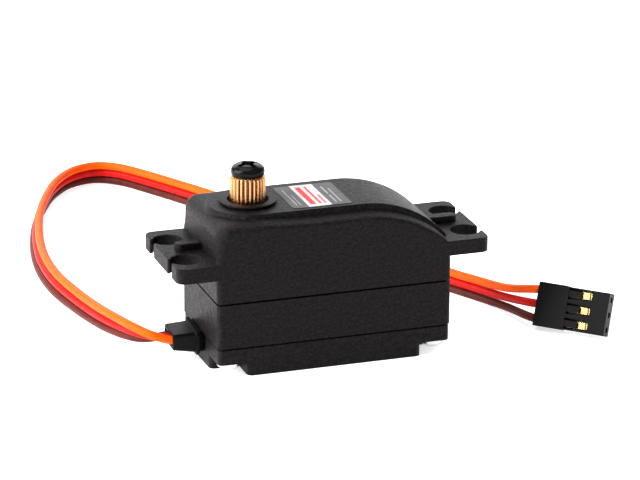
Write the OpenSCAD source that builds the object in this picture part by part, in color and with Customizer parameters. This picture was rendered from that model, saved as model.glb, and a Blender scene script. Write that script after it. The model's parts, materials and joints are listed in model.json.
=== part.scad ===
// Low-profile robotics servo motor with cable and three-way plug.
// Units: mm. +X along the long side towards the motor end, +Y to the back, +Z up the output shaft.
// Origin: floor plane under the centre of the case.

/* [Case] */
// case length
body_l = 40.5; // [39:0.1:42]
// case width
body_w = 20; // [19:0.1:21]
// length over the mounting ears
ear_span = 54; // [52:0.1:56]
// underside of the ears
ear_z0 = 17.1; // [16:0.05:18]
// top of the ears
ear_z1 = 19.7; // [19:0.05:21]
// seam between bottom cover and middle case
seam_lo = 5; // [4:0.05:6]
// seam between middle case and top case
seam_hi = 12.85; // [12:0.05:14]
// top of the raised spine
top_z = 26.75; // [26:0.05:28]
// crest of the side shoulders
shoulder_z = 25.7; // [25:0.05:27]
// spacing of the ear holes along X
hole_pitch_x = 48.6; // [47:0.1:50]
// spacing of the ear holes along Y
hole_pitch_y = 10.2; // [10:0.1:11]
// radius of the ear holes
hole_r = 2.45; // [2:0.05:2.8]

/* [Output] */
// position of the output axis
out_x = -12; // [-12.5:0.1:-11.5]
// spline tip radius
spline_r = 2.96; // [2.8:0.01:3.1]
// spline teeth
spline_n = 25; // [21:1:25]
// top of the spline
spline_top = 31.7; // [31:0.1:33]

/* [Gear train] */
// position of the idler axle
idler_x = -2; // [-2.5:0.1:-1.5]
// module of the first stage
m_fast = 0.3; // [0.3:0.05:0.4]
// module of the middle stages
m_mid = 0.4; // [0.4:0.05:0.5]
// module of the last stage
m_slow = 0.5; // [0.5:0.05:0.6]
// flank relief that gives the backlash
relief = 0.03; // [0.02:0.005:0.05]

/* [Cable] */
// wire radius over the insulation
wire_r = 0.72; // [0.6:0.01:0.8]
// sides of each wire
wire_sides = 8; // [6:2:12]
// rings between two route points
wire_steps = 3; // [2:1:6]
// plug length
plug_l = 12.8; // [12:0.1:15]
// plug width over three ways
plug_w = 7.3; // [7.2:0.1:8]
// plug thickness
plug_t = 2.4; // [2.3:0.05:2.7]

/* [Hidden] */
$fn = 48;
zp = 12; z1 = 54; z1s = 18; z2 = 32; z2s = 14; z3 = 36; z3s = 15; z_out = 25;
motor_x = idler_x + m_fast * (zp + z1) / 2;
arc_x = 5.5;
arc_r = 19.4;
arc_z = top_z - arc_r;
screw_x = 17.75;
screw_y = 7.5;
deck_z0 = 14.7;
deck_z1 = 16.2;
motor_r = 7.7;
grip_y = 1.35;
wire_pitch = 2 * wire_r + 0.02;
plug_at = [37.13, -4.45, 1.08];
plug_yaw = -43.8;
plug_lean = 23;
pole = 2.54;

// ---------- helpers ----------

module rr(l, w, r) {
    square([l - 2 * r, w], center = true);
    square([l, w - 2 * r], center = true);
    for (sx = [-1, 1], sy = [-1, 1])
        translate([sx * (l / 2 - r), sy * (w / 2 - r)]) circle(r = r, $fn = 32);
}

module slab(l, w, r, z0, z1) translate([0, 0, z0]) linear_extrude(z1 - z0) rr(l, w, r);

module box(x0, x1, y0, y1, z0, z1) translate([x0, y0, z0]) cube([x1 - x0, y1 - y0, z1 - z0]);

module rod(x, y, r, z0, z1, n = 48) translate([x, y, z0]) cylinder(r = r, h = z1 - z0, $fn = n);

module ring(x, y, r0, r1, z0, z1, n = 48) difference() {
    rod(x, y, r1, z0, z1, n);
    rod(x, y, r0, z0 - 1, z1 + 1, n);
}

module corners() for (sx = [-1, 1], sy = [-1, 1]) translate([sx * screw_x, sy * screw_y]) children();

// involute gear outline, tooth centred on angle ph
function polar(r, a) = [r * cos(a), r * sin(a)];
function inv_deg(c) = tan(acos(c)) * 180 / PI - acos(c);
function half_tooth(r, rp, rb, z) =
    90 / z - relief / rp * 180 / PI + inv_deg(cos(20)) - inv_deg(min(1, rb / max(r, rb)));
function gear_points(m, z, ph) =
    let (rp = m * z / 2, rb = rp * cos(20), rt = rp + 0.9 * m, rr = rp - 1.2 * m,
        radii = [rr, max(rb, rr + 0.2 * m), rp + 0.15 * m, rt])
    [for (i = [0 : z - 1], s = [-1, 1], k = [0 : 3])
        let (r = radii[s < 0 ? k : 3 - k]) polar(r, ph + 360 * i / z + s * half_tooth(r, rp, rb, z))];

module wheel(x, m, z, ph, z0, z1) translate([x, 0, z0]) linear_extrude(z1 - z0)
    polygon(gear_points(m, z, ph));

// ---------- case outline ----------

// right half of the section across the case, from the front face to the spine
function crown_side() = concat(
    [for (a = [0 : 15 : 90]) [body_w / 2 - 2.2 * (1 - cos(a)), shoulder_z - 0.9 * (1 - sin(a))]],
    [[7.6, shoulder_z + 0.05], [7.5, shoulder_z - 0.05], [7.35, shoulder_z - 0.05]]);
function spine_side() = [[7.34, top_z - 0.86], [6.98, top_z - 0.2], [6.8, top_z]];
function mirrored(p) = [for (i = [len(p) - 1 : -1 : 0]) [-p[i][0], p[i][1]]];
function crown(spine) = let (h = spine ? concat(crown_side(), spine_side())
        : [for (p = crown_side()) if (p[0] > 7.7) p])
    concat([[body_w / 2, 0]], h, mirrored(h), [[-body_w / 2, 0]]);

module crown_bar(x0, x1, spine) translate([x0, 0, 0]) rotate([90, 0, 90])
    linear_extrude(x1 - x0) polygon(crown(spine));

module crown_turn(x, r, a, spine) translate([x, 0, top_z - r]) rotate([90, 0, 0])
    rotate([0, 0, a]) rotate_extrude(angle = 90, $fn = r > 10 ? 144 : 48)
        intersection() {
            rotate(-90) translate([0, r - top_z]) polygon(crown(spine));
            translate([0, -15]) square([30, 30]);
        }

module crown_shell() intersection() {
    slab(body_l, body_w, 1, seam_hi, 30);
    union() {
        slab(body_l, body_w, 1, seam_hi, ear_z1);
        crown_bar(-17.85, out_x, false);
        crown_bar(out_x, arc_x, true);
        crown_turn(arc_x, arc_r, 0, true);
        crown_turn(-17.85, 2.4 + top_z - shoulder_z, 90, false);
        difference() {
            box(-20.25, -17.85, -10, 10, seam_hi, shoulder_z - 2.4);
            for (s = [-1, 1]) translate([-20.25, s * 10, 0]) rotate(45)
                cube([1, 1, 60], center = true);
        }
        translate([out_x, 0, 25]) cylinder(r1 = 7.45, r2 = 6.8, h = top_z - 25);
    }
}

module ear_plate() difference() {
    union() {
        slab(ear_span, body_w, 1.5, ear_z0, ear_z1);
        for (s = [-1, 1]) {
            box(min(s * 18, s * 23.5), max(s * 18, s * 23.5), -1.05, 1.05, ear_z0, ear_z1 + 1.15);
            translate([s * 23.5, 0, ear_z0]) cylinder(r = 1.05, h = ear_z1 + 1.15 - ear_z0);
        }
    }
    for (sx = [-1, 1], sy = [-1, 1]) translate([sx * hole_pitch_x / 2, sy * hole_pitch_y / 2, 0]) {
        rod(0, 0, hole_r, ear_z0 - 1, ear_z1 + 1);
        translate([sx * 3, 0, ear_z0]) cube([6, 2, 8], center = true);
    }
}

module seam_ring(z0, z1) translate([0, 0, z0]) linear_extrude(z1 - z0) difference() {
    square([60, 40], center = true);
    rr(body_l - 0.9, body_w - 0.9, 0.8);
}

module top_case() color([0.13, 0.13, 0.13]) difference() {
    union() {
        crown_shell();
        ear_plate();
        rod(out_x, 0, 4.55, 24, 26.95);
        rod(out_x, 0, 4.8, 26.95, 27.3);
    }
    difference() {
        union() {
            slab(37.9, 17.5, 0.6, seam_hi - 1, 19);
            intersection() {
                box(-18.95, 18.95, -8.75, 8.75, 18, 24.1);
                union() {
                    box(-19, arc_x, -9, 9, 15, 30);
                    translate([arc_x, 0, arc_z]) rotate([90, 0, 0])
                        cylinder(r = 24.1 - arc_z, h = 20, center = true, $fn = 144);
                }
            }
        }
        corners() cylinder(r = 2, h = 18.6, $fn = 32);
        rod(idler_x, 0, 1.6, 23.75, 26, 24);
    }
    corners() translate([0, 0, seam_hi - 1]) cylinder(r = 0.8, h = 6.2, $fn = 24);
    rod(idler_x, 0, 0.76, 20, 25.4, 24);
    rod(out_x, 0, 5, 23.5, 26.3);
    rod(out_x, 0, 3.3, 23, 28);
    seam_ring(seam_hi - 1, seam_hi + 0.16);
}

module middle_case() color([0.13, 0.13, 0.13]) difference() {
    union() {
        slab(body_l, body_w, 1, seam_lo, seam_hi);
        difference() {
            slab(37.8, 17.4, 0.55, seam_lo, deck_z1);
            corners() translate([0, 0, seam_hi]) cylinder(r = 2.05, h = 6, $fn = 32);
        }
    }
    difference() {
        slab(35.9, 15.7, 0.6, seam_lo - 1, deck_z0);
        corners() cylinder(r = 2, h = deck_z0 + 1, $fn = 32);
        ring(out_x, 0, 2.6, 4.6, 12.4, deck_z0 + 1);
    }
    corners() cylinder(r = 1, h = 30, $fn = 24);
    rod(out_x, 0, 2.3, deck_z0 - 1, deck_z1 + 1);
    rod(idler_x, 0, 0.75, 15, deck_z1 + 1, 24);
    rod(motor_x, 0, 2.9, deck_z0 - 1, deck_z1 + 1);
    for (s = [-1, 1]) rod(motor_x, s * 5, 0.75, deck_z0 - 1, deck_z1 + 1, 24);
    box(-21, -17, -1.35, 4.05, seam_lo - 1, 5.35);
    seam_ring(seam_hi - 0.16, seam_hi + 1);
    seam_ring(seam_lo - 1, seam_lo + 0.16);
}

module bottom_cover() color([0.13, 0.13, 0.13]) difference() {
    union() {
        slab(body_l - 0.3, body_w - 0.3, 0.9, 2.3, seam_lo);
        slab(30.2, body_w - 0.3, 1, 0, 3);
        slab(body_l - 0.3, 10, 1, 0, 3);
    }
    difference() {
        union() {
            slab(27.6, 17, 0.6, 1.2, seam_lo + 1);
            slab(37.4, 7.6, 0.6, 1.2, seam_lo + 1);
            slab(37.4, 17, 0.6, 3.5, seam_lo + 1);
        }
        corners() cylinder(r = 2.2, h = seam_lo, $fn = 32);
        for (sx = [-1, 1], sy = [-1, 1]) rod(sx * 11, sy * 7.3, 0.8, 1, 3, 16);
    }
    corners() cylinder(r = 1, h = 30, $fn = 24);
    corners() translate([0, 0, 2]) cylinder(r = 2.05, h = 1, $fn = 32);
    box(-21, -17, -1.35, 4.05, 1.9, seam_lo + 1);
    seam_ring(seam_lo - 0.16, seam_lo + 1);
}

module case_screws() color([0.8, 0.8, 0.82]) corners() difference() {
    union() {
        translate([0, 0, 3]) cylinder(r = 0.95, h = seam_hi - 3, $fn = 24);
        translate([0, 0, seam_hi]) cylinder(r = 0.78, h = 5, $fn = 24);
        intersection() {
            translate([0, 0, 0.6]) cylinder(r = 1.92, h = 2.4, $fn = 32);
            translate([0, 0, 3.3]) sphere(r = 2.6, $fn = 48);
        }
    }
    for (a = [0, 90]) rotate(a) translate([0, 0, 1.1]) cube([2.2, 0.42, 1.1], center = true);
}

module top_label() color([0.85, 0.85, 0.85]) translate([-1, -0.45, 0])
    slab(10.2, 11.1, 0.6, top_z, top_z + 0.08);

// tapered sleeve, flange and neck outside the wall, seated a little askew
module grommet_outside() translate([0, grip_y, 3.9]) rotate([5, 0, 0]) union() {
    intersection() {
        translate([0, 5, 0]) rotate([90, 0, 0]) linear_extrude(10)
            polygon([[-25.3, -1.35], [-20.6, -2], [-20.6, 1.6], [-25.3, 1.5]]);
        translate([0, 0, -5]) linear_extrude(10)
            polygon([[-25.3, -2.65], [-20.6, -2.9], [-20.6, 2.9], [-25.3, 2.65]]);
    }
    translate([-21.45, 0, -0.15]) rotate([90, 0, 90]) linear_extrude(0.55) rr(7.1, 4.2, 0.6);
    translate([-21, 0, -0.1]) rotate([90, 0, 90]) linear_extrude(0.75) rr(6.3, 3.6, 0.5);
}

module cable_grommet() color([0.06, 0.06, 0.06]) difference() {
    union() {
        grommet_outside();
        box(-20.4, -19, -1.35, 4.05, 1.9, 5.35);
        box(-19, -18.2, -1.35, 4.05, 2.6, 5.2);
    }
    translate([-26, grip_y, 3.95]) rotate([90, 0, 90]) linear_extrude(8) rr(4.6, 1.9, 0.6);
}

// ---------- output ----------

function spline_points() = [for (i = [0 : spline_n - 1], k = [0 : 3])
    let (r = [2.6, spline_r, spline_r, 2.6][k], a = [-5.2, -2.3, 2.3, 5.2][k])
        polar(r, 360 * i / spline_n + a)];

module output_shaft() color([0.8, 0.6, 0.35]) difference() {
    union() {
        rod(out_x, 0, 1.25, 9.4, 18.3, 32);
        rod(out_x, 0, 1.5, 18.3, 21.7, 32);
        rod(out_x, 0, 2.4, 21.7, 23.6);
        rod(out_x, 0, 3.5, 23.6, 23.8);
        rod(out_x, 0, 3, 23.8, 26.6);
        intersection() {
            translate([out_x, 0, 26.6]) linear_extrude(spline_top - 26.6) polygon(spline_points());
            union() {
                rod(out_x, 0, 3.2, 26.6, spline_top - 0.35);
                translate([out_x, 0, spline_top - 0.35]) cylinder(r1 = 3.05, r2 = 2.65, h = 0.35);
            }
        }
    }
    rod(out_x, 0, 1.3, 25, 33, 24);
}

module output_gear() color([0.75, 0.72, 0.66]) difference() {
    wheel(out_x, m_slow, z_out, 0, 21.9, 23.6);
    rod(out_x, 0, 2.4, 21, 25);
    for (a = [30 : 60 : 330]) translate([out_x, 0, 0]) rotate(a) rod(3.9, 0, 0.8, 21, 25, 24);
}

module horn_screw() color([0.1, 0.1, 0.1]) difference() {
    union() {
        rod(out_x, 0, 1.28, 25.6, spline_top, 24);
        intersection() {
            rod(out_x, 0, 2.8, spline_top, spline_top + 1.7);
            translate([out_x, 0, spline_top - 1.7]) sphere(r = 3.4, $fn = 64);
        }
    }
    for (a = [0, 90]) translate([out_x, 0, spline_top + 1.6]) rotate(a) cube([3, 0.6, 1.6], center = true);
}

module pot_wiper() color([0.75, 0.6, 0.3]) difference() {
    union() {
        rod(out_x, 0, 3.4, 10.2, 10.8, 32);
        for (a = [-20, 20]) translate([out_x, 0, 0]) rotate(a) box(2.9, 3.3, -0.2, 0.2, 9.65, 10.3);
    }
    rod(out_x, 0, 1.25, 9, 12, 32);
}

module gear_2_clip() color([0.75, 0.75, 0.78]) ring(out_x, 0, 1.25, 2.2, 18.05, 18.3, 32);

module race(r, s) translate([out_x, 0, 23.8]) rotate_extrude() difference() {
    translate([s > 0 ? 4.45 : r, 0]) square([s > 0 ? r - 4.45 : 3.55 - r, 2.5]);
    translate([4, 1.25]) circle(r = 0.68, $fn = 32);
}

module bearing_outer_ring() color([0.75, 0.75, 0.78]) race(5, 1);

module bearing_inner_ring() color([0.75, 0.75, 0.78]) race(3, -1);

module bearing_balls() color([0.85, 0.85, 0.88]) union() {
    ring(out_x, 0, 3.8, 4.2, 24.8, 25.3);
    for (i = [0 : 8]) translate([out_x, 0, 25.05]) rotate(40 * i) translate([4, 0, 0])
        sphere(r = 0.64, $fn = 20);
}

module lower_bush() color([0.8, 0.65, 0.35]) ring(out_x, 0, 1.29, 2.3, deck_z0, deck_z1);

// ---------- gear train ----------

module gear_1() color([0.7, 0.7, 0.72]) difference() {
    union() {
        wheel(idler_x, m_fast, z1, 0, 16.5, 17.8);
        wheel(idler_x, m_mid, z1s, 10, 17.8, 19.9);
    }
    rod(idler_x, 0, 0.79, 16, 21, 24);
    for (a = [0 : 60 : 300]) translate([idler_x, 0, 0]) rotate(a) rod(5.7, 0, 1.2, 16, 19, 24);
}

module gear_2() color([0.75, 0.72, 0.66]) difference() {
    union() {
        wheel(out_x, m_mid, z2, 0, 18.3, 19.6);
        wheel(out_x, m_mid, z2s, 0, 19.6, 21.5);
    }
    rod(out_x, 0, 1.55, 18, 22, 32);
}

module gear_3() color([0.7, 0.7, 0.72]) difference() {
    union() {
        wheel(idler_x, m_mid, z3, 5, 20.1, 21.4);
        wheel(idler_x, m_slow, z3s, 0, 21.4, 23.7);
    }
    rod(idler_x, 0, 0.79, 20, 24, 24);
}

module idler_pin() color([0.85, 0.85, 0.88]) rod(idler_x, 0, 0.75, 15, 25.4, 24);
module idler_washer_1() color([0.75, 0.75, 0.78]) ring(idler_x, 0, 0.76, 1.8, deck_z1, 16.5, 24);
module idler_washer_2() color([0.75, 0.75, 0.78]) ring(idler_x, 0, 0.76, 1.8, 19.9, 20.1, 24);

// ---------- motor ----------

module motor_can() color([0.72, 0.72, 0.74]) difference() {
    union() {
        rod(motor_x, 0, motor_r, 5, deck_z0, 64);
        rod(motor_x, 0, 2.9, deck_z0, deck_z1);
    }
    rod(motor_x, 0, 7.2, 4, 14.2, 64);
    rod(motor_x, 0, 1.6, 13, 17, 32);
    for (s = [-1, 1]) rod(motor_x, s * 5, 0.6, 14, 15, 16);
}

module motor_end_cap() color([0.15, 0.15, 0.16]) difference() {
    union() {
        rod(motor_x, 0, motor_r, 4.4, 5, 64);
        rod(motor_x, 0, 7.2, 5, 5.6, 64);
    }
    rod(motor_x, 0, 1.6, 4, 6, 32);
    for (s = [-1, 1]) box(motor_x - 0.4, motor_x + 0.4, s * 5.5 - 0.2, s * 5.5 + 0.2, 4, 6);
}

module motor_magnet() color([0.4, 0.4, 0.42]) ring(motor_x, 0, 1.6, 4.6, 7.4, 14.2);

module motor_front_bush() color([0.8, 0.65, 0.35]) ring(motor_x, 0, 0.77, 1.6, 13.4, deck_z1, 32);

module motor_rear_bush() color([0.8, 0.65, 0.35]) ring(motor_x, 0, 0.77, 1.6, 4.4, 5.4, 32);

module motor_brushes() color([0.8, 0.55, 0.3]) for (s = [-1, 1]) union() {
    box(motor_x - 0.3, motor_x + 0.3, min(s * 1.34, s * 5.7), max(s * 1.34, s * 5.7), 5.75, 6.05);
    box(motor_x - 0.3, motor_x + 0.3, s * 5.5 - 0.2, s * 5.5 + 0.2, 5.6, 5.75);
}

module motor_terminals() color([0.8, 0.7, 0.4]) for (s = [-1, 1])
    box(motor_x - 0.4, motor_x + 0.4, s * 5.5 - 0.2, s * 5.5 + 0.2, 3.8, 5.6);

module motor_screws() color([0.8, 0.8, 0.82]) for (s = [-1, 1]) difference() {
    union() {
        rod(motor_x, s * 5, 0.6, 14.2, deck_z1, 16);
        rod(motor_x, s * 5, 1.2, deck_z1, 16.9, 24);
    }
    translate([motor_x, s * 5, 17]) cube([3, 0.35, 0.7], center = true);
}

module rotor_coil() color([0.75, 0.4, 0.2]) union() {
    ring(motor_x, 0, 5.4, 6.4, 6.6, 13.6, 64);
    ring(motor_x, 0, 0.75, 6.4, 6.3, 6.6, 64);
}

module rotor_shaft() color([0.85, 0.85, 0.88]) rod(motor_x, 0, 0.75, 4.6, 18.2, 24);

module commutator() color([0.8, 0.55, 0.3]) ring(motor_x, 0, 0.75, 1.3, 5.55, 6.3, 24);

module motor_pinion() color([0.8, 0.65, 0.35]) difference() {
    wheel(motor_x, m_fast, zp, 15, 16.45, 18.2);
    rod(motor_x, 0, 0.75, 16, 19, 24);
}

// ---------- feedback and electronics ----------

module pot_housing() color([0.1, 0.25, 0.45]) difference() {
    rod(out_x, 0, 4.6, 8.6, 12.4);
    rod(out_x, 0, 4.2, 9.2, 11.8);
    rod(out_x, 0, 1.5, 11, 13);
    for (a = [-1 : 1]) box(out_x + 1.1 * a * 2 - 0.3, out_x + 1.1 * a * 2 + 0.3, 3, 3.3, 8, 9.2);
}

module pot_track() color([0.12, 0.12, 0.12]) ring(out_x, 0, 2, 3.6, 9.2, 9.6, 32);

module pot_terminals() color([0.8, 0.8, 0.82]) for (a = [-1 : 1])
    box(out_x + 2.2 * a - 0.3, out_x + 2.2 * a + 0.3, 3, 3.3, 3.8, 9.2);

module circuit_board() color([0.1, 0.35, 0.2]) union() {
    box(-13.5, 13.5, -8.2, 8.2, 3, 3.8);
    box(-16.2, 18.4, -3.6, 3.6, 3, 3.8);
}

module microcontroller() color([0.1, 0.1, 0.1]) box(-8, -3, -6, -1, 3.8, 4.7);
module motor_driver() color([0.1, 0.1, 0.1]) box(-4, 1, -2.5, 2.5, 2.1, 3);
module voltage_regulator() color([0.1, 0.1, 0.1]) box(-7, -4, 3.6, 6.6, 3.8, 5.2);
module filter_capacitor() color([0.7, 0.6, 0.3]) box(-13, -10, -7.4, -5.8, 3.8, 5.4);
module resonator() color([0.7, 0.7, 0.72]) box(-12.6, -9.8, -3.4, -2, 3.8, 4.6);

// ---------- cable and plug ----------

// route of the middle wire: x, y, z and the twist of the ribbon in degrees
ribbon = [[-15.2, 1.35, 4.54, 0], [-16.6, 1.35, 4.54, 0], [-18.4, 1.35, 4.12, 0],
    [-21.5, 1.35, 3.95, 0], [-25, 1.35, 3.9, 2],
    [-28, 2, 4.25, 30], [-30.3, 4.4, 4.4, 60], [-31.8, 8.75, 4.1, 78], [-32.9, 13.9, 3.65, 87],
    [-33.65, 20, 3.1, 92], [-34.45, 27.6, 2.65, 98], [-35.1, 35.8, 2.35, 104], [-34.95, 44, 2.2, 108],
    [-33.95, 52.4, 2.2, 110], [-31.9, 61.8, 2.2, 110], [-29, 71.3, 2.2, 108], [-25.8, 78.9, 2.25, 106],
    [-22.1, 85.8, 2.3, 104], [-17.5, 91, 2.3, 102], [-12.4, 92.7, 2.3, 100], [-8.2, 90.3, 2.25, 96],
    [-4.5, 84.9, 2.2, 92], [0.3, 76.3, 2.2, 90], [7.1, 63.5, 2.2, 90], [14.4, 49.2, 2.2, 90],
    [21.2, 36, 2.2, 90], [26.4, 25.9, 2.2, 90], [30.6, 17.3, 2.2, 90]];

function plug_dir() = [cos(plug_yaw), sin(plug_yaw), 0];
function plug_back() = [-sin(plug_yaw), cos(plug_yaw), 0];
function plug_up() = plug_back() * sin(plug_lean) + [0, 0, cos(plug_lean)];
function plug_in() = plug_back() * cos(plug_lean) - [0, 0, sin(plug_lean)];
function in_plug(x, h) = plug_at + plug_dir() * x + plug_up() * (plug_w / 2 + h) + plug_in() * plug_t / 2;

function unit(v) = v / norm(v);
function spot(i) = [ribbon[i][0], ribbon[i][1], ribbon[i][2]];
function heading(i) = unit(spot(min(i + 1, len(ribbon) - 1)) - spot(max(i - 1, 0)));
function across(i) = unit(cross([0, 0, 1], heading(i)));
function lane(i, k) = spot(i) + k * wire_pitch
    * (across(i) * cos(ribbon[i][3]) + cross(heading(i), across(i)) * sin(ribbon[i][3]));
function lead(k) = [[33.4, 11.8, 2.3 + k * 1.52], [36.1, 5.3, 2.7 + k * 1.7],
    in_plug(-1.6, k * 2.3), in_plug(0.4, k * pole), in_plug(4.3, k * pole)];
function route(k) = concat([for (i = [0 : len(ribbon) - 1]) lane(i, k)], lead(k));

function blend(a, b, c, d, t) = 0.5 * ((2 * b) + (c - a) * t + (2 * a - 5 * b + 4 * c - d) * t * t
    + (3 * b - a - 3 * c + d) * t * t * t);
function smooth_path(p) = concat([for (i = [0 : len(p) - 2], j = [0 : wire_steps - 1])
    blend(p[max(i - 1, 0)], p[i], p[i + 1], p[min(i + 2, len(p) - 1)], j / wire_steps)],
    [p[len(p) - 1]]);

module tube(p, r) {
    n = len(p);
    function dir(i) = unit(p[min(i + 1, n - 1)] - p[max(i - 1, 0)]);
    function side(i) = unit(cross([0, 0, 1], dir(i)));
    points = [for (i = [0 : n - 1], s = [0 : wire_sides - 1])
        let (a = 360 * (s + 0.5) / wire_sides)
            p[i] + r * (side(i) * cos(a) + cross(dir(i), side(i)) * sin(a))];
    skin = [for (i = [0 : n - 2], s = [0 : wire_sides - 1])
        let (a = i * wire_sides + s, b = i * wire_sides + (s + 1) % wire_sides)
            [a, b, b + wire_sides, a + wire_sides]];
    polyhedron(points, concat(skin, [[for (s = [wire_sides - 1 : -1 : 0]) s],
        [for (s = [0 : wire_sides - 1]) (n - 1) * wire_sides + s]]), convexity = 8);
}

module signal_wire() color([1, 0.5, 0.1]) tube(smooth_path(route(1)), wire_r);
module power_wire() color([0.9, 0.1, 0.1]) tube(smooth_path(route(0)), wire_r);
module ground_wire() color([0.35, 0.1, 0.08]) tube(smooth_path(route(-1)), wire_r);

// plug frame: x along the plug, y through its thickness, z across the three ways
module plug_frame() translate(plug_at) rotate([0, 0, plug_yaw]) rotate([-plug_lean, 0, 0])
    translate([0, plug_t / 2, plug_w / 2]) children();

module plug_housing() color([0.06, 0.06, 0.06]) plug_frame() difference() {
    union() {
        rotate([90, 0, 90]) linear_extrude(plug_l) rr(plug_t, plug_w, 0.3);
        box(0, 4.9, -plug_t / 2, plug_t / 2, -plug_w / 2 - 0.12, plug_w / 2 + 0.12);
    }
    for (k = [-1 : 1]) translate([0, 0, k * pole]) {
        box(-1, 12.2, -0.75, 0.75, -0.75, 0.75);
        box(12, 14, -0.45, 0.45, -0.45, 0.45);
        box(7.9, 9.7, -2, 0, -0.75, 0.75);
        difference() {
            box(5.5, 8, -2, -0.5, -0.95, 0.95);
            box(5.4, 7.8, -1.1, -0.4, -0.55, 0.55);
        }
    }
}

module plug_contact(k) color([0.9, 0.75, 0.4]) plug_frame() translate([0, 0, k * pole]) difference() {
    union() {
        box(4.3, 8, -0.45, 0.75, -0.6, 0.6);
        box(8, 11.9, -0.75, 0.75, -0.6, 0.6);
        box(8.1, 9.3, -1, -0.7, -0.6, 0.6);
    }
    box(8.2, 12, -0.4, 0.4, -0.35, 0.35);
}

module plug_contact_1() plug_contact(1);
module plug_contact_2() plug_contact(0);
module plug_contact_3() plug_contact(-1);

top_case();
middle_case();
bottom_cover();
case_screws();
top_label();
cable_grommet();
output_shaft();
output_gear();
horn_screw();
pot_wiper();
gear_2_clip();
bearing_outer_ring();
bearing_inner_ring();
bearing_balls();
lower_bush();
gear_1();
gear_2();
gear_3();
idler_pin();
idler_washer_1();
idler_washer_2();
motor_can();
motor_end_cap();
motor_magnet();
motor_front_bush();
motor_rear_bush();
motor_brushes();
motor_terminals();
motor_screws();
rotor_coil();
rotor_shaft();
commutator();
motor_pinion();
pot_housing();
pot_track();
pot_terminals();
circuit_board();
microcontroller();
motor_driver();
voltage_regulator();
filter_capacitor();
resonator();
signal_wire();
power_wire();
ground_wire();
plug_housing();
plug_contact_1();
plug_contact_2();
plug_contact_3();
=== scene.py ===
"""Looks for the servo motor: detailed pieces, procedural materials, cable, light and camera."""

import json
import math

import bpy
import bmesh
from mathutils import Matrix, Vector


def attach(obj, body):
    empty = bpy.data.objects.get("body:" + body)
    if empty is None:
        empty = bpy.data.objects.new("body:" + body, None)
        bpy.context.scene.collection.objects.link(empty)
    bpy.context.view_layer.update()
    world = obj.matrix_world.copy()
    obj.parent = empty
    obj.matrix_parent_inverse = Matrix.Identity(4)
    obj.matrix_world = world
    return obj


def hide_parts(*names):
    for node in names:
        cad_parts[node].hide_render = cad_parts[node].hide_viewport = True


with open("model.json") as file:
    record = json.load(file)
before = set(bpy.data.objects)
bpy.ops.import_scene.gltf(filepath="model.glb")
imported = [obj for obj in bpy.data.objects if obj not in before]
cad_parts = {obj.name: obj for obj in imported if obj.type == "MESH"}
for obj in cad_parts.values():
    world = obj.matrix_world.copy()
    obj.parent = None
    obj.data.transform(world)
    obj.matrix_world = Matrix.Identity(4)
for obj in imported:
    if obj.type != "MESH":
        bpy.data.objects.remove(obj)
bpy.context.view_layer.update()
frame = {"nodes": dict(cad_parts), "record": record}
scene = bpy.context.scene
MM = 0.001


# ---------- camera ----------

AZIMUTH, ELEVATION, ROLL = math.radians(-18.988), math.radians(19.46), math.radians(0.41)
ACROSS, ABOVE, DISTANCE = 0.542, 17.659, 637.3
LENS, SENSOR = 214.2, 36

back = Vector((math.sin(AZIMUTH) * math.cos(ELEVATION), -math.cos(AZIMUTH) * math.cos(ELEVATION),
               math.sin(ELEVATION)))
level = Vector((math.cos(AZIMUTH), math.sin(AZIMUTH), 0))
upright = back.cross(level)
right = level * math.cos(ROLL) + upright * math.sin(ROLL)
up = upright * math.cos(ROLL) - level * math.sin(ROLL)
camera = bpy.data.objects.new("camera", bpy.data.cameras.new("camera"))
scene.collection.objects.link(camera)
scene.camera = camera
camera.data.lens, camera.data.sensor_width = LENS, SENSOR
camera.data.clip_start, camera.data.clip_end = 0.05, 20
camera.matrix_world = Matrix((right, up, back)).transposed().to_4x4()
camera.location = (level * ACROSS + upright * ABOVE + back * DISTANCE) * MM


# ---------- materials ----------

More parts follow.
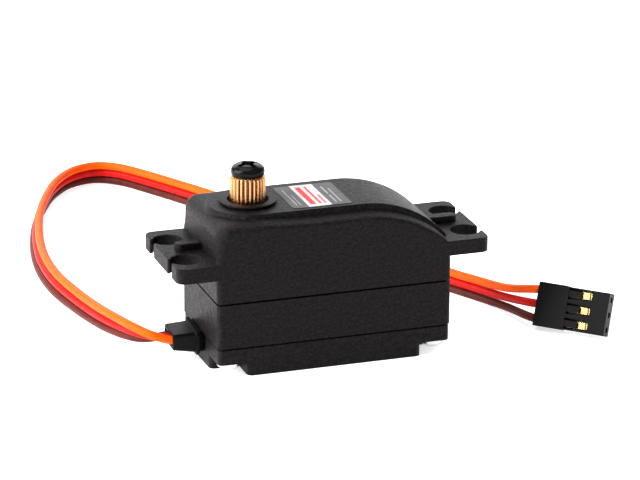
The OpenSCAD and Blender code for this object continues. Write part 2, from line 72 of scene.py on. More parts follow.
class Nodes:
    """A Principled material built up node by node."""

    def __init__(self, name, color, roughness, metallic=0.0, specular=0.5):
        self.material = bpy.data.materials.new(name)
        self.material.use_nodes = True
        self.material.diffuse_color = (*color, 1)
        self.tree = self.material.node_tree
        self.shader = self.tree.nodes["Principled BSDF"]
        self.set("Base Color", (*color, 1))
        self.set("Roughness", roughness)
        self.set("Metallic", metallic)
        self.set("Specular IOR Level", specular)
        self.place = self.add("ShaderNodeTexCoord").outputs["Object"]

    def set(self, socket, value):
        self.shader.inputs[socket].default_value = value

    def add(self, kind):
        return self.tree.nodes.new(kind)

    def link(self, a, b):
        self.tree.links.new(a, b)

    def noise(self, scale, detail, rough=0.5, stretch=None):
        node = self.add("ShaderNodeTexNoise")
        node.inputs["Scale"].default_value = scale
        node.inputs["Detail"].default_value = detail
        node.inputs["Roughness"].default_value = rough
        source = self.place
        if stretch:
            mapping = self.add("ShaderNodeMapping")
            mapping.inputs["Scale"].default_value = stretch
            self.link(source, mapping.inputs["Vector"])
            source = mapping.outputs["Vector"]
        self.link(source, node.inputs["Vector"])
        return node.outputs["Fac"]

    def ramp(self, source, stops):
        node = self.add("ShaderNodeValToRGB")
        while len(node.color_ramp.elements) < len(stops):
            node.color_ramp.elements.new(0.5)
        for element, (at, color) in zip(node.color_ramp.elements, stops):
            element.position = at
            element.color = (*color, 1)
        self.link(source, node.inputs["Fac"])
        return node.outputs["Color"]

    def colors(self, source, stops):
        self.link(self.ramp(source, stops), self.shader.inputs["Base Color"])

    def roughness(self, source, low, high):
        node = self.add("ShaderNodeMapRange")
        node.inputs["To Min"].default_value = low
        node.inputs["To Max"].default_value = high
        self.link(source, node.inputs["Value"])
        self.link(node.outputs["Result"], self.shader.inputs["Roughness"])

    def bump(self, source, height, strength):
        node = self.add("ShaderNodeBump")
        node.inputs["Distance"].default_value = height * MM
        node.inputs["Strength"].default_value = strength
        self.link(source, node.inputs["Height"])
        self.link(node.outputs["Normal"], self.shader.inputs["Normal"])


def shade(color, by):
    return tuple(c * by for c in color)


def nylon():
    """Black moulded nylon with a fine spark-eroded grain."""
    m = Nodes("case_nylon", (0.004, 0.0035, 0.0037), 0.4, specular=0.1)
    m.set("Specular Tint", (1, 0.9, 0.94, 1))
    grain = m.noise(1900, 4, 0.7)
    m.colors(grain, [(0.4, (0.0002, 0.0002, 0.0002)), (0.6, (0.0075, 0.0062, 0.0066))])
    m.roughness(m.noise(1300, 4), 0.26, 0.52)
    m.bump(grain, 0.3, 1.0)
    return m.material


def moulded(name, color, rough=0.42, grain=3000, height=0.006, specular=0.35):
    """Moulded plastic, film, rubber or a black finish, with a speckled surface."""
    m = Nodes(name, color, rough, specular=specular)
    speck = m.noise(grain, 2)
    m.colors(speck, [(0.3, shade(color, 0.8)), (0.7, shade(color, 1.2))])
    m.roughness(m.noise(grain / 4, 2), rough - 0.07, rough + 0.08)
    m.bump(speck, height, 0.5)
    return m.material


def metal(name, color, rough=0.3, stretch=(1, 1, 12), scale=900, height=0.004):
    """Metal with fine marks, which stretch can draw out into lines."""
    m = Nodes(name, color, rough, 1.0)
    lines = m.noise(scale, 3, 0.6, stretch)
    m.colors(lines, [(0.25, shade(color, 0.82)), (0.75, shade(color, 1.08))])
    m.roughness(lines, rough - 0.08, rough + 0.1)
    m.bump(lines, height, 0.5)
    return m.material


def silicone(name, color, dark):
    """Wire insulation, mottled between two tones."""
    m = Nodes(name, color, 0.46, specular=0.07)
    mottle = m.noise(700, 3)
    m.colors(mottle, [(0.3, dark), (0.7, color)])
    m.roughness(m.noise(1500, 2), 0.34, 0.5)
    m.bump(m.noise(1600, 2), 0.012, 0.5)
    return m.material


def board():
    """Green circuit board with a faint brick-like pattern in place of tracks."""
    m = Nodes("board_green", (0.015, 0.13, 0.06), 0.35)
    brick = m.add("ShaderNodeTexBrick")
    brick.inputs["Scale"].default_value = 260
    brick.inputs["Color1"].default_value = (0.012, 0.11, 0.05, 1)
    brick.inputs["Color2"].default_value = (0.02, 0.15, 0.07, 1)
    brick.inputs["Mortar"].default_value = (0.03, 0.2, 0.09, 1)
    brick.inputs["Mortar Size"].default_value = 0.03
    m.link(m.place, brick.inputs["Vector"])
    m.link(brick.outputs["Color"], m.shader.inputs["Base Color"])
    m.roughness(m.noise(800, 2), 0.28, 0.42)
    m.bump(brick.outputs["Fac"], 0.02, 0.5)
    return m.material


SLOTS = {
    "case_nylon": nylon(),
    "screw_steel": metal("screw_steel", (0.62, 0.61, 0.6), 0.28),
    "label_film": moulded("label_film", (0.075, 0.073, 0.075), 0.4, 1500, 0.003, 0.06),
    "grommet_rubber": moulded("grommet_rubber", (0.0025, 0.0024, 0.0025), 0.36, 2200, 0.008, 0.07),
    "spline_brass": metal("spline_brass", (0.66, 0.38, 0.18), 0.26, (1, 1, 6), 1200, 0.004),
    "black_steel": moulded("black_steel", (0.003, 0.0028, 0.0028), 0.2, 1500, 0.003, 0.1),
    "gear_steel": metal("gear_steel", (0.58, 0.57, 0.56), 0.3, (1, 1, 3)),
    "polished_steel": metal("polished_steel", (0.72, 0.72, 0.73), 0.16, (1, 1, 3), 700, 0.002),
    "bronze": metal("bronze", (0.68, 0.46, 0.24), 0.42, (1, 1, 1), 2500, 0.008),
    "motor_steel": metal("motor_steel", (0.5, 0.5, 0.51), 0.3, (1, 1, 14)),
    "magnet": metal("magnet", (0.2, 0.2, 0.21), 0.5, (1, 1, 1), 2500, 0.01),
    "copper": metal("copper", (0.78, 0.36, 0.17), 0.3, (1, 1, 20), 1200, 0.01),
    "moulded_black": moulded("moulded_black", (0.0045, 0.0042, 0.0044), 0.34, 3000, 0.006, 0.08),
    "pot_blue": moulded("pot_blue", (0.02, 0.09, 0.28), 0.4),
    "carbon_track": moulded("carbon_track", (0.02, 0.02, 0.022), 0.3),
    "tinned": metal("tinned", (0.68, 0.68, 0.67), 0.22, (1, 1, 1), 1000, 0.004),
    "board_green": board(),
    "capacitor_tan": moulded("capacitor_tan", (0.5, 0.3, 0.08), 0.45),
    "wire_orange": silicone("wire_orange", (0.88, 0.098, 0.002), (0.74, 0.078, 0.002)),
    "wire_red": silicone("wire_red", (0.55, 0.008, 0.006), (0.42, 0.006, 0.005)),
    "wire_brown": silicone("wire_brown", (0.1, 0.016, 0.011), (0.07, 0.011, 0.008)),
    "contact_gold": metal("contact_gold", (0.95, 0.66, 0.28), 0.22, (1, 1, 1), 1500, 0.003),
}
slot_of = {s["node"]: s["material_slot"] for s in frame["record"]["subparts"]}


# ---------- mesh helpers (all in millimetres) ----------

WELD, BEVEL_ANGLE = 0.001, 35


def build(name, points, faces, body, slot, stands_for=()):
    """A mesh object from millimetre points, riding on its body."""
    mesh = bpy.data.meshes.new(name)
    mesh.from_pydata([Vector(p) * MM for p in points], [], faces)
    obj = bpy.data.objects.new(name, mesh)
    scene.collection.objects.link(obj)
    bm = bmesh.new()
    bm.from_mesh(mesh)
    bmesh.ops.recalc_face_normals(bm, faces=bm.faces)
    bm.to_mesh(mesh)
    bm.free()
    if body:
        mesh.materials.append(SLOTS[slot])
        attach(obj, body)
        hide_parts(*stands_for)
    return obj


def grid(rows):
    """Points of rows of equal length, and the faces between neighbouring rows."""
    n = len(rows[0])
    points = [p for row in rows for p in row]
    faces = [(i * n + j, i * n + j + 1, (i + 1) * n + j + 1, (i + 1) * n + j)
             for i in range(len(rows) - 1) for j in range(n - 1)]
    return points, faces


def stack(rings, closed=False):
    """Faces that join rings of equal length, capped at both ends, or joined end to start."""
    n = len(rings[0])
    points = [p for ring in rings for p in ring]
    pairs = [(i, (i + 1) % len(rings)) for i in range(len(rings) - (0 if closed else 1))]
    faces = [(a * n + j, a * n + (j + 1) % n, b * n + (j + 1) % n, b * n + j)
             for a, b in pairs for j in range(n)]
    if not closed:
        faces += [tuple(range(n - 1, -1, -1)), tuple((len(rings) - 1) * n + j for j in range(n))]
    return points, faces


def rounded(length, width, radius, steps=8):
    """Outline of a rounded rectangle."""
    corners = [(1, 1, 0), (-1, 1, 90), (-1, -1, 180), (1, -1, 270)]
    return [(sx * (length / 2 - radius) + radius * math.cos(math.radians(a + 90 * k / steps)),
             sy * (width / 2 - radius) + radius * math.sin(math.radians(a + 90 * k / steps)))
            for sx, sy, a in corners for k in range(steps + 1)]


def lathe(profile, sides=96, closed=False):
    """A profile of (radius, z) turned about the output shaft's axis."""
    rings = [[(OUT_X + r * math.cos(2 * math.pi * k / sides), r * math.sin(2 * math.pi * k / sides), z)
              for k in range(sides)] for r, z in profile]
    return stack(rings, closed)


def arc(cx, cy, r, a0, a1, n):
    """Points of an arc from a0 to a1 degrees, n steps apart."""
    return [(cx + r * math.cos(math.radians(a0 + (a1 - a0) * k / n)),
             cy + r * math.sin(math.radians(a0 + (a1 - a0) * k / n))) for k in range(n + 1)]


def box(x0, x1, y0, y1, z0, z1):
    """A block between the given limits."""
    ring = [(x0, y0), (x1, y0), (x1, y1), (x0, y1)]
    return stack([[(x, y, z) for x, y in ring] for z in (z0, z1)])


def apply(obj):
    """Replaces the mesh with what its modifiers make of it."""
    bpy.context.view_layer.update()
    graph = bpy.context.evaluated_depsgraph_get()
    mesh = bpy.data.meshes.new_from_object(obj.evaluated_get(graph))
    obj.modifiers.clear()
    obj.data = mesh


def combine(obj, shape, operation):
    """Joins a shape to obj, or cuts it from obj."""
    tool = build("tool", *shape, None, None)
    modifier = obj.modifiers.new("boolean", "BOOLEAN")
    modifier.object, modifier.operation, modifier.solver = tool, operation, "EXACT"
    apply(obj)
    bpy.data.objects.remove(tool)


def soften(obj, width=0.0, segments=2, clean=False):
    """Small rounded edges and normals that keep flat faces flat."""
    if clean:
        obj.modifiers.new("weld", "WELD").merge_threshold = WELD * MM
        dissolve = obj.modifiers.new("planar", "DECIMATE")
        dissolve.decimate_type, dissolve.angle_limit = "DISSOLVE", math.radians(1)
    if width:
        bevel = obj.modifiers.new("bevel", "BEVEL")
        bevel.width, bevel.segments = width * MM, segments
        bevel.limit_method, bevel.angle_limit = "ANGLE", math.radians(BEVEL_ANGLE)
    for polygon in obj.data.polygons:
        polygon.use_smooth = True
    normals = obj.modifiers.new("normals", "WEIGHTED_NORMAL")
    normals.keep_sharp = True


def sharpen(obj, angle=32):
    """Marks the edges that stay sharp."""
    bm = bmesh.new()
    bm.from_mesh(obj.data)
    for edge in bm.edges:
        edge.smooth = len(edge.link_faces) == 2 and edge.calc_face_angle(0) < math.radians(angle)
    for face in bm.faces:
        face.smooth = True
    bm.to_mesh(obj.data)
    bm.free()


def ease(t):
    """A smooth step from 0 to 1."""
    t = max(0.0, min(1.0, t))
    return t * t * (3 - 2 * t)


# ---------- cable ----------

# Radius of a wire, spacing in the ribbon and spacing of the plug's poles
WIRE_R, PITCH, POLE = 0.72, 1.46, 2.54
# Where the middle wire leaves the grommet
EXIT_X, CABLE_Y, CABLE_Z = -25.4, 1.35, 3.95
PLUG_AT, PLUG_YAW, PLUG_LEAN = Vector((37.13, -4.45, 1.08)), math.radians(-43.8), math.radians(23)
PLUG_W, PLUG_T = 7.3, 2.4
# The middle wire's way: x, y, z and the ribbon's twist in degrees
RIBBON = [
    (-15.2, 1.35, 4.54, 0), (-16.6, 1.35, 4.54, 0), (-18.4, 1.35, 4.12, 0), (-21.5, 1.35, 3.95, 0),
    (-25, 1.35, 3.9, 2), (-28, 2, 4.25, 30), (-30.3, 4.4, 4.4, 60), (-31.8, 8.75, 4.1, 78),
    (-32.9, 13.9, 3.65, 87), (-33.65, 20, 3.1, 92), (-34.45, 27.6, 2.65, 98), (-35.1, 35.8, 2.35, 104),
    (-34.95, 44, 2.2, 108), (-33.95, 52.4, 2.2, 110), (-31.9, 61.8, 2.2, 110), (-29, 71.3, 2.2, 108),
    (-25.8, 78.9, 2.25, 106), (-22.1, 85.8, 2.3, 104), (-17.5, 91, 2.3, 102), (-12.4, 92.7, 2.3, 100),
    (-8.2, 90.3, 2.25, 96), (-4.5, 84.9, 2.2, 92), (0.3, 76.3, 2.2, 90), (7.1, 63.5, 2.2, 90),
    (14.4, 49.2, 2.2, 90), (21.2, 36, 2.2, 90), (26.4, 25.9, 2.2, 90), (30.6, 17.3, 2.2, 90)]
# Where the wires spread: x, y, z of the middle wire, and the height between neighbours
SPREAD = [(33.4, 11.8, 2.3, 1.52), (36.1, 5.3, 2.7, 1.7)]
# Into the plug: distance along it, and the spacing of neighbours
PLUG_RUN = [(-1.6, 2.3), (0.4, POLE), (4.3, POLE)]

plug_dir = Vector((math.cos(PLUG_YAW), math.sin(PLUG_YAW), 0))
plug_back = Vector((-math.sin(PLUG_YAW), math.cos(PLUG_YAW), 0))
plug_up = plug_back * math.sin(PLUG_LEAN) + Vector((0, 0, math.cos(PLUG_LEAN)))
plug_in = plug_back * math.cos(PLUG_LEAN) - Vector((0, 0, math.sin(PLUG_LEAN)))


def in_plug(x, h):
    """A point inside the plug, x along it and h up from the middle pole."""
    return PLUG_AT + plug_dir * x + plug_up * (PLUG_W / 2 + h) + plug_in * (PLUG_T / 2)


def route(k):
    """The points of wire k, in the ribbon, where it spreads and in the plug. k is 1, 0 or -1."""
    spots = [Vector(p[:3]) for p in RIBBON]
    lane = []
    for i, spot in enumerate(spots):
        heading = (spots[min(i + 1, len(spots) - 1)] - spots[max(i - 1, 0)]).normalized()
        across = Vector((0, 0, 1)).cross(heading).normalized()
        twist = math.radians(RIBBON[i][3])
        lane.append(spot + k * PITCH * (across * math.cos(twist) + heading.cross(across) * math.sin(twist)))
    spread = [Vector((x, y, z + k * step)) for x, y, z, step in SPREAD]
    return lane + spread + [in_plug(x, k * step) for x, step in PLUG_RUN]


def smooth_path(p, steps):
    """Catmull-Rom curve through the points."""
    out = []
    for i in range(len(p) - 1):
        a, b, c, d = p[max(i - 1, 0)], p[i], p[i + 1], p[min(i + 2, len(p) - 1)]
        for j in range(steps):
            t = j / steps
            out.append(0.5 * (2 * b + (c - a) * t + (2 * a - 5 * b + 4 * c - d) * t * t
                              + (3 * b - a - 3 * c + d) * t ** 3))
    return out + [p[-1]]


def wire(name, k, node):
    """One free wire, from the circuit board to its contact in the plug."""
    path = smooth_path(route(k), 10)
    curve = bpy.data.curves.new(name, "CURVE")
    curve.dimensions, curve.bevel_depth, curve.bevel_resolution = "3D", WIRE_R * MM, 7
    curve.use_fill_caps = True
    spline = curve.splines.new("POLY")
    spline.points.add(len(path) - 1)
    for point, at in zip(spline.points, path):
        point.co = (*(at * MM), 1)
    spline.use_smooth = True
    obj = bpy.data.objects.new(name, curve)
    scene.collection.objects.link(obj)
    curve.materials.append(SLOTS[slot_of[node]])
    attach(obj, "case")
    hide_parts(node)


wire("orange_wire", 1, "signal_wire")
wire("red_wire", 0, "power_wire")
wire("brown_wire", -1, "ground_wire")


# ---------- top case ----------

# Output axis, top of the spine and top of the shoulder
OUT_X, TOP_Z, CREST_Z = -12.0, 26.75, 25.7
# Centre and radius of the curve that falls to the right ear, and where its shoulder ends
ARC_X, ARC_R, ARC_END_X = 5.5, 19.4, 19.6
ARC_Z = TOP_Z - ARC_R
# Outer walls and the seam above the middle case
END_X, FRONT_Y, BASE_Z = 20.25, 10.0, 12.85
# Height where the left wall starts to curve over
LEFT_ARC_Z = 23.7
# The spine's half width, and its end inside the right ear
SPINE_W, SPINE_FOOT_Z = 7.4, 18.2
# The groove beside the spine: its inner and outer edge, then its points and two under the spine, each as
# distance from the middle and height
GROOVE_IN, GROOVE_OUT = 7.05, 7.72
GROOVE = [(7.66, 0.04), (7.55, 0.07), (7.49, 0.05), (7.43, -0.05), (7.3, -0.07), (7.15, -0.03), (7.05, 0),
          (5.5, 0), (3, 0)]
# Inner walls and roof
INNER_X, INNER_Y, ROOF_Z = 18.95, 8.75, 24.1
# Ears: underside, top, tip, corner radius, and where they start
EAR_Z0, EAR_Z1, EAR_TIP, EAR_CORNER, EAR_ROOT = 17.1, 19.7, 27, 1.5, 18.9
# Ear holes: place, radius, and half width of the slot that opens them
HOLE_X, HOLE_Y, HOLE_R, SLOT_HALF = 24.3, 5.1, 2.45, 1
# Shaft opening, bearing seat, and the groove at the seam
SHAFT_BORE, BEARING_SEAT, SEAM_STEP = 3.35, 5.0, 0.16


def crest(x):
    """Height of the shoulder, which rises towards the output end."""
    return CREST_Z + 0.33 * ease((-5 - x) / 8)


def stations():
    """Places round the case from the left end's foot to the right end's: point, outward normal, fillet
    width and depth, and how much groove there is."""
    r_left = crest(-END_X) - LEFT_ARC_Z
    x_left = -END_X + r_left
    out = []
    for t in [k / 6 for k in range(7)]:
        z = BASE_Z + (LEFT_ARC_Z - BASE_Z) * t
        grow = ease((z - EAR_Z1) / 3)
        out.append(((-END_X, z), (-1, 0), 1 + 1.2 * grow, 1 + 1.1 * grow, 0))
    for k in range(1, 13):
        a = math.radians(180 - 90 * k / 12)
        n = (math.cos(a), math.sin(a))
        t = ease(k / 12)
        point = (x_left + r_left * n[0], LEFT_ARC_Z + r_left * n[1])
        out.append((point, n, 2.2 + 0.4 * t, 2.1 - 0.9 * t, 0))
    x = x_left
    while x < ARC_X - 0.7:
        x += 0.5
        t = ease((x - x_left) / 8)
        out.append(((x, crest(x)), (0, 1), 2.6 - 0.2 * t, 1.2 - 0.3 * t, ease((x + 15.5) / 3)))
    r = ARC_R - (TOP_Z - CREST_Z)
    last = math.degrees(math.acos((ARC_END_X - ARC_X) / r))
    for k in range(25):
        a = math.radians(90 - (90 - last) * k / 24)
        n = (math.cos(a), math.sin(a))
        t = ease((k - 16) / 8)
        reach = r + 0.45 * ease((k - 6) / 18)
        out.append(((ARC_X + reach * n[0], ARC_Z + reach * n[1]), n, 2.4 - 1.2 * t, 0.9 - 0.55 * t, 1))
    for z in (17.9, 17, 15, BASE_Z):
        out.append(((END_X, z), (1, 0), 1, 1, 0))
    return out


def half_section(x, width, depth, groove):
    """From the front face inwards to the middle: distance from the middle, and height from the crest. The
    groove bends in round the output end."""
    points = []
    bend = math.sqrt(max(1.0, SPINE_W ** 2 - min(0, x - OUT_X) ** 2)) - SPINE_W
    width = min(width, FRONT_Y - GROOVE_OUT - bend)
    for k in range(9):
        a = math.radians(90 * k / 8)
        points.append((FRONT_Y - width * (1 - math.cos(a)), -depth * (1 - math.sin(a))))
    for y, h in GROOVE:
        moved = y + bend if y > GROOVE_IN else y * (GROOVE_IN + bend) / GROOVE_IN
        points.append((moved, h * groove))
    return points


def crown_shell():
    """The case's outer body without the spine, as cross sections from end to end."""
    rings = []
    for (px, pz), (nx, nz), width, depth, groove in stations():
        half = half_section(px, width, depth, groove)
        ring = [(px + nx * h, -y, pz + nz * h) for y, h in half]
        ring += [(px + nx * h, y, pz + nz * h) for y, h in reversed(half)]
        rings.append(ring)
    points, faces = grid(rings)
    n = len(rings[0])
    faces.append(tuple(i * n for i in range(len(rings))))
    faces.append(tuple(i * n + n - 1 for i in range(len(rings) - 1, -1, -1)))
    last = (len(rings) - 1) * n
    faces.append(tuple(range(n - 1, -1, -1)) + tuple(last + j for j in range(n)))
    return points, faces


def spine():
    """The raised spine: round at the output end, flat, then over the curve to the ear."""
    profile = [(7.48, -1.9), (7.42, -1.2), (7.34, -0.86), (7.03, -0.3), (6.94, -0.12), (6.83, -0.02),
               (6.7, 0), (5.2, 0)]
    path = [((ARC_X - (ARC_X - OUT_X) * k / 12, TOP_Z), (0, 1)) for k in range(12, -1, -1)]
    last = math.degrees(math.asin((SPINE_FOOT_Z - ARC_Z) / ARC_R))
    for k in range(1, 31):
        a = math.radians(90 - (90 - last) * k / 30)
        path.append(((ARC_X + ARC_R * math.cos(a), ARC_Z + ARC_R * math.sin(a)), (math.cos(a), math.sin(a))))
    turns = [math.radians(90 + 180 * (k + 1) / 25) for k in range(24)]
    left = [[(OUT_X + r * math.cos(a), r * math.sin(a), TOP_Z + h) for r, h in profile] for a in turns]
    front = [[(p[0] + n[0] * h, -r, p[1] + n[1] * h) for r, h in profile] for p, n in path]
    rear = [[(p[0] + n[0] * h, r, p[1] + n[1] * h) for r, h in profile] for p, n in path]
    columns = list(reversed(rear)) + left + front
    points, faces = grid(columns)
    m, count, front_start, last_column = len(profile), len(path), len(rear) + len(left), len(columns) - 1

    def lid(j):
        """Faces across from rear to front at step j of the profile, then the round end."""
        across = [((count - 1 - i) * m + j, (front_start + i) * m + j,
                   (front_start + i + 1) * m + j, (count - 2 - i) * m + j) for i in range(count - 1)]
        return across + [tuple(i * m + j for i in range(count - 1, front_start + 1))]

    faces += lid(m - 1)
    faces.append(tuple(range(m)) + tuple(last_column * m + j for j in range(m - 1, -1, -1)))
    faces += [tuple(reversed(face)) for face in lid(0)]
    return points, faces


def ear_outline(inset):
    """One ear seen from above, with its two open holes."""
    tip, side, r = EAR_TIP - inset, FRONT_Y - inset, EAR_CORNER - inset
    hole, slot_half = HOLE_R + inset, SLOT_HALF + inset
    edge = 0.3 - inset
    out = [(EAR_ROOT, -side)] + arc(tip - r, -side + r, r, -90, 0, 6)
    for cy in (-HOLE_Y, HOLE_Y):
        enter = math.degrees(math.asin(slot_half / hole))
        out += arc(tip - edge, cy - slot_half - edge, edge, 0, 90, 4)
        out += arc(HOLE_X, cy, hole, -enter, enter - 360, 36)
        out += arc(tip - edge, cy + slot_half + edge, edge, -90, 0, 4)
    return out + arc(tip - r, side - r, r, 0, 90, 6) + [(EAR_ROOT, side)]


def ear(sign):
    """The right ear, or the left one where sign is -1, with rounded edges."""
    levels = [(0.18, EAR_Z0), (0.05, EAR_Z0 + 0.05), (0, EAR_Z0 + 0.18), (0, EAR_Z1 - 0.2),
              (0.06, EAR_Z1 - 0.06), (0.2, EAR_Z1)]
    rings = [[(sign * x, y, z) for x, y in ear_outline(inset)] for inset, z in levels]
    return stack(rings)


def rib(sign):
    """The stiffening rib on an ear, rounded at its tip and along its top."""
    root, tip_centre, half_w, top = 18.5, 23.5, 1.05, 20.85
    levels = [(0, EAR_Z1 - 0.5), (0, top - 0.25), (0.08, top - 0.07), (0.25, top)]
    rings = []
    for inset, z in levels:
        w = half_w - inset
        ring = [(root, -w)] + arc(tip_centre, 0, w, -90, 90, 12) + [(root, w)]
        rings.append([(sign * x, y, z) for x, y in ring])
    return stack(rings)


def cavity():
    """The room inside the top case for the gears."""
    path = [(-INNER_X, BASE_Z - 1), (-INNER_X, ROOF_Z - 0.5), (-INNER_X + 0.45, ROOF_Z)]
    r = ROOF_Z - ARC_Z
    path += [(x, z) for x, z in arc(ARC_X, ARC_Z, r, 90, 45, 16) if x < INNER_X]
    path += [(INNER_X, ARC_Z + math.sqrt(r * r - (INNER_X - ARC_X) ** 2)), (INNER_X, BASE_Z - 1)]
    return stack([[(x, y, z) for x, z in path] for y in (-INNER_Y, INNER_Y)])


def seam_groove():
    """A ring round the foot of the case, which leaves a thin step above the seam."""
    outer, inner = rounded(60, 40, 0.8), rounded(2 * END_X - 0.9, 2 * FRONT_Y - 0.9, 0.8)
    low_z, high_z = BASE_Z - 1, BASE_Z + SEAM_STEP
    rings = [(outer, low_z), (outer, high_z), (inner, high_z), (inner, low_z)]
    return stack([[(x, y, z) for x, y in ring] for ring, z in rings], True)


def top_case():
    """The outer body with its spine, ears, ribs and collar, hollowed for the gears."""
    case = build("top_case_shell", *crown_shell(), "case", "case_nylon", ["top_case"])
    combine(case, spine(), "UNION")
    for sign in (-1, 1):
        combine(case, ear(sign), "UNION")
        combine(case, rib(sign), "UNION")
    collar = [(4.4, 26), (4.4, 26.93), (4.66, 26.95), (4.78, 27.0), (4.8, 27.06), (4.8, 27.2), (4.76, 27.27),
              (4.66, 27.3), (3.6, 27.3), (3.45, 27.28), (3.4, 27.2), (3.4, 26)]
    combine(case, lathe(collar, closed=True), "UNION")
    combine(case, lathe([(SHAFT_BORE, 23), (SHAFT_BORE, 28)]), "DIFFERENCE")
    combine(case, cavity(), "DIFFERENCE")
    combine(case, lathe([(BEARING_SEAT, 23), (BEARING_SEAT, 26.3)]), "DIFFERENCE")
    combine(case, seam_groove(), "DIFFERENCE")
    sharpen(case)
    soften(case)


top_case()


# ---------- output shaft and its screw ----------

TEETH, TIP_R, ROOT_R = 25, 2.96, 2.5
SHAFT_TOP = 31.4


def spline_outline(limit):
    """Outline of the teeth, with nothing further out than limit."""
    tooth = [(-7.2, 0), (-5.6, 0.0), (-4.6, 0.25), (-3.4, 0.75), (-2.3, 0.97), (-1.0, 1), (1.0, 1),
             (2.3, 0.97), (3.4, 0.75), (4.6, 0.25), (5.6, 0.0)]
    out = []
    for i in range(TEETH):
        for a, t in tooth:
            r = min(ROOT_R + (TIP_R - ROOT_R) * t, limit)
            angle = math.radians(360 / TEETH * i + a)
            out.append((OUT_X + r * math.cos(angle), r * math.sin(angle)))
    return out


def output_shaft():
    """The splined end with its chamfer and screw hole, the plain shaft below, and painted shade in the gaps
    between the teeth.
    """
    levels = [(3.0, 25.4), (3.0, 30.9), (2.94, 31.08), (2.82, 31.24), (2.68, 31.34), (2.5, SHAFT_TOP)]
    rings = [[(x, y, z) for x, y in spline_outline(r)] for r, z in levels]
    n = len(rings[0])
    half_tooth = math.radians(180 / TEETH)
    for r, z in ((1.75, SHAFT_TOP), (1.6, SHAFT_TOP - 0.08), (1.55, 26.5)):
        turns = [2 * math.pi * k / n - half_tooth for k in range(n)]
        rings.append([(OUT_X + r * math.cos(a), r * math.sin(a), z) for a in turns])
    shaft = build("splined_shaft", *stack(rings), "output", "spline_brass", ["output_shaft"])
    lower = [(1.25, 9.4), (1.25, 18.3), (1.5, 18.3), (1.5, 21.7), (2.4, 21.7), (2.4, 23.6), (3.5, 23.6),
             (3.5, 23.8), (2.98, 23.8), (2.98, 26.45), (2.9, 26.55), (2.5, 26.6)]
    combine(shaft, lathe(lower), "UNION")
    # Painted shade: a darker brown metal for the faces deep in the gaps between the teeth, where little light
    # reaches.
    shaft.data.materials.append(metal("spline_gap_shade", (0.2, 0.1, 0.045), 0.4, (1, 1, 6), 1200, 0.004))
    for polygon in shaft.data.polygons:
        corners = [shaft.data.vertices[v].co / MM for v in polygon.vertices]
        reach = max(Vector((c.x - OUT_X, c.y)).length for c in corners)
        if reach < ROOT_R + 0.16 and min(c.z for c in corners) > 25:
            polygon.material_index = 1
    sharpen(shaft, 28)
    soften(shaft)


def horn_screw():
    """A domed screw whose cross recess narrows downwards."""
    head = [(1.28, 25.6), (1.28, SHAFT_TOP), (2.4, SHAFT_TOP), (2.6, 31.45), (2.74, 31.6), (2.8, 31.85),
            (2.8, 32.25), (2.74, 32.52), (2.58, 32.76), (2.3, 33.0), (1.9, 33.18), (1.4, 33.29), (0.8, 33.34),
            (0.3, 33.35)]
    screw = build("cross_head_screw", *lathe(head), "output", "black_steel", ["horn_screw"])
    for turn in (20, 110):
        c, s = math.cos(math.radians(turn)), math.sin(math.radians(turn))
        rings = []
        for half_l, half_w, z in ((0.7, 0.26, 31.75), (1.9, 0.42, 33.15), (2.1, 0.48, 33.6)):
            ring = [(half_l, -half_w), (half_l, half_w), (-half_l, half_w), (-half_l, -half_w)]
            rings.append([(OUT_X + x * c - y * s, x * s + y * c, z) for x, y in ring])
        combine(screw, stack(rings), "DIFFERENCE")
    combine(screw, lathe([(0.3, 31.9), (0.95, 33.2), (1.15, 33.7)], sides=24), "DIFFERENCE")
    sharpen(screw, 30)
    soften(screw)


output_shaft()
horn_screw()


# ---------- label ----------

# Corners of the film: x, y, radius and the turn at which each starts
FILM = [(4.1, 5.1, 0.5, 0), (-6.1, 5.1, 0.5, 90), (-6.1, -6, 0.9, 180), (4.1, -6, 0.5, 270)]
FILM_T = 0.08
# Plain panels on it: ink, x from and to, y from and to, and 1 for the upper layer
PANELS = [("white", -3.3, 0.65, -5.94, 5.04, 0),
          ("red", -2.7, -1.75, -4.8, 4.0, 1), ("red", -1.15, -0.75, -4.8, 4.0, 1),
          ("red", -0.2, 0.1, -4.8, -0.4, 1),
          ("pale", 1.6, 1.85, -4.8, -1.2, 1), ("pale", 1.6, 1.85, -0.4, 3.4, 1),
          ("pale", 2.5, 2.7, -4.8, 2.0, 1), ("pale", -5.1, -4.9, -4.6, 3.2, 1),
          ("pale", -4.4, -4.25, -4.6, 0.6, 1)]


def film_outline(inset):
    """The film's rounded outline."""
    ring = []
    for x, y, r, turn in FILM:
        sx, sy = (1, -1)[turn in (90, 180)], (1, -1)[turn > 90]
        ring += arc(x - sx * r, y - sy * r, r - inset, turn, turn + 90, 8)
    return ring


def label():
    """A printed film with plain panels and bars, and no words."""
    z = TOP_Z + FILM_T
    levels = [(0, TOP_Z - 0.01), (0, z - 0.03), (0.03, z)]
    rings = [[(x, y, h) for x, y in film_outline(inset)] for inset, h in levels]
    film = build("label_film", *stack(rings), "case", "label_film", ["top_label"])
    soften(film)
    inks = {"white": moulded("ink_white", (0.52, 0.52, 0.53), 0.4, 1500, 0.001, 0.06),
            "red": moulded("ink_red", (0.62, 0.02, 0.025), 0.4, 1500, 0.001, 0.06),
            "pale": moulded("ink_pale", (0.3, 0.3, 0.3), 0.4, 1500, 0.001, 0.06)}
    for number, (ink, x0, x1, y0, y1, lift) in enumerate(PANELS):
        block = box(x0, x1, y0, y1, z - 0.01, z + 0.006 + 0.004 * lift)
        piece = build("label_print_%d" % number, *block, "case", "label_film")
        piece.data.materials[0] = inks[ink]


label()


# ---------- cable grommet ----------

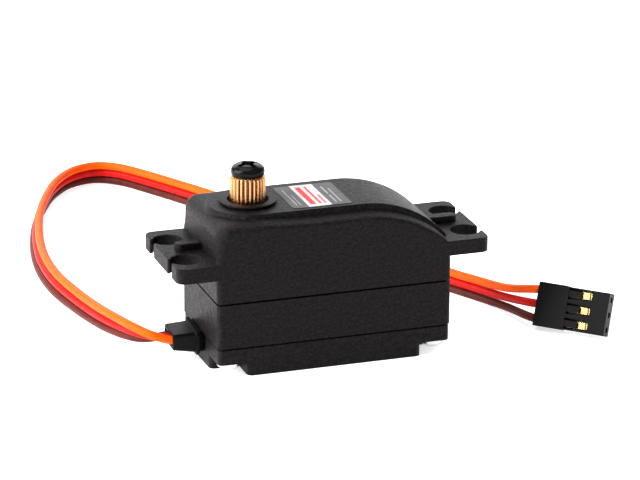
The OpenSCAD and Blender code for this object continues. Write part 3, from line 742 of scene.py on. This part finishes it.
# The sleeve and flange: x, half width, half height, rise from the middle and corner radius
SLEEVE = [(-25.3, 2.42, 1.2, 0.07, 0.4), (-25.24, 2.56, 1.34, 0.07, 0.45), (-25.08, 2.64, 1.42, 0.07, 0.5),
          (-24.8, 2.66, 1.45, 0.05, 0.5), (-21.62, 2.84, 1.78, -0.18, 0.55),
          (-21.5, 2.92, 1.86, -0.17, 0.55), (-21.47, 3.42, 2.0, -0.15, 0.6), (-21.4, 3.53, 2.08, -0.15, 0.6),
          (-21.0, 3.53, 2.08, -0.15, 0.6), (-20.94, 3.45, 2.02, -0.15, 0.6)]
# The neck's steps in and out, as x and 1 on a rib
NECK = [(-20.92, 0), (-20.8, 0), (-20.78, 1), (-20.66, 1), (-20.64, 0), (-20.52, 0), (-20.5, 1), (-20.3, 1)]
ASKEW, SLEEVE_Z, NECK_Z = math.radians(5), 3.9, 3.62


def grommet():
    """Tapered sleeve, flange and ribbed neck, seated a little askew, then the part inside the wall."""
    neck_sizes = [(3.0, 1.66), (3.13, 1.78)]
    levels = SLEEVE + [(x, *neck_sizes[on_rib], -0.1, 0.5) for x, on_rib in NECK]
    c, s = math.cos(ASKEW), math.sin(ASKEW)
    rings = [[(x, CABLE_Y + y * c - (h + rise) * s, SLEEVE_Z + y * s + (h + rise) * c)
              for y, h in rounded(2 * half_w, 2 * half_h, r, 5)] for x, half_w, half_h, rise, r in levels]
    rings += [[(x, CABLE_Y + y, NECK_Z + h) for y, h in rounded(5.3, 3.3, 0.4, 5)] for x in (-20.28, -18.2)]
    piece = build("strain_relief", *stack(rings), "case", "grommet_rubber", ["cable_grommet"])
    hole = [[(x, CABLE_Y + y, CABLE_Z + h) for y, h in rounded(4.6, 1.9, 0.6, 5)] for x in (-26, -18)]
    combine(piece, stack(hole), "DIFFERENCE")
    for side in (-2.5, 5.2):
        combine(piece, box(-24.9, -21.7, side - 0.25, side + 0.08, 3.66, 3.72), "DIFFERENCE")
    sharpen(piece, 40)
    soften(piece)


grommet()


# ---------- the other CAD pieces ----------

# Edge rounding of the larger pieces, and of all the others
EDGES = {"middle_case": 0.06, "bottom_cover": 0.12, "plug_housing": 0.1, "case_screws": 0.06,
         "plug_contact_1": 0.05, "plug_contact_2": 0.05, "plug_contact_3": 0.05, "motor_can": 0.25,
         "motor_end_cap": 0.12, "circuit_board": 0.05, "microcontroller": 0.08, "motor_driver": 0.08,
         "voltage_regulator": 0.08, "filter_capacitor": 0.12, "resonator": 0.12, "pot_housing": 0.12}
FINE_EDGE = 0.025
for node, obj in frame["nodes"].items():
    if obj.hide_render:
        continue
    obj.data.materials.clear()
    obj.data.materials.append(SLOTS[slot_of[node]])
    soften(obj, EDGES.get(node, FINE_EDGE), 3 if node in EDGES else 1, clean=True)


# ---------- floor and light ----------

FLOOR_HALF, FLOOR_Z = 1500, -0.02
AIM = Vector((0, 0, 15))


def floor():
    """A plain pale floor that glows, just under the object."""
    corners = [(x * FLOOR_HALF, y * FLOOR_HALF, FLOOR_Z) for x, y in ((-1, -1), (1, -1), (1, 1), (-1, 1))]
    obj = build("floor", corners, [(0, 1, 2, 3)], None, None)
    m = Nodes("floor", (0.9, 0.9, 0.9), 0.9, specular=0.0)
    m.set("Emission Color", (1, 1, 1, 1))
    m.set("Emission Strength", 0.62)
    obj.data.materials.append(m.material)


def lamp(name, at, size, power):
    """A softbox aimed at the middle of the case."""
    light = bpy.data.lights.new(name, "AREA")
    light.shape, light.size, light.size_y, light.energy = "RECTANGLE", size[0] * MM, size[1] * MM, power
    obj = bpy.data.objects.new(name, light)
    scene.collection.objects.link(obj)
    obj.location = Vector(at) * MM
    obj.rotation_mode = "QUATERNION"
    obj.rotation_quaternion = (AIM * MM - obj.location).to_track_quat("-Z", "Y")


floor()
lamp("back_softbox", (250, 900, 500), (1400, 700), 7.8)
lamp("top_softbox", (-150, 100, 900), (700, 700), 5)
lamp("left_softbox", (-800, 100, 240), (700, 600), 14)
lamp("corner_softbox", (-750, -130, 650), (450, 450), 7)
lamp("front_softbox", (300, -700, 700), (600, 500), 0.9)

world = bpy.data.worlds.new("studio")
scene.world = world
world.use_nodes = True
background = world.node_tree.nodes["Background"]
background.inputs["Color"].default_value = (1, 1, 1, 1)
background.inputs["Strength"].default_value = 0.35
scene.view_settings.view_transform = "Standard"
scene.view_settings.look = "None"
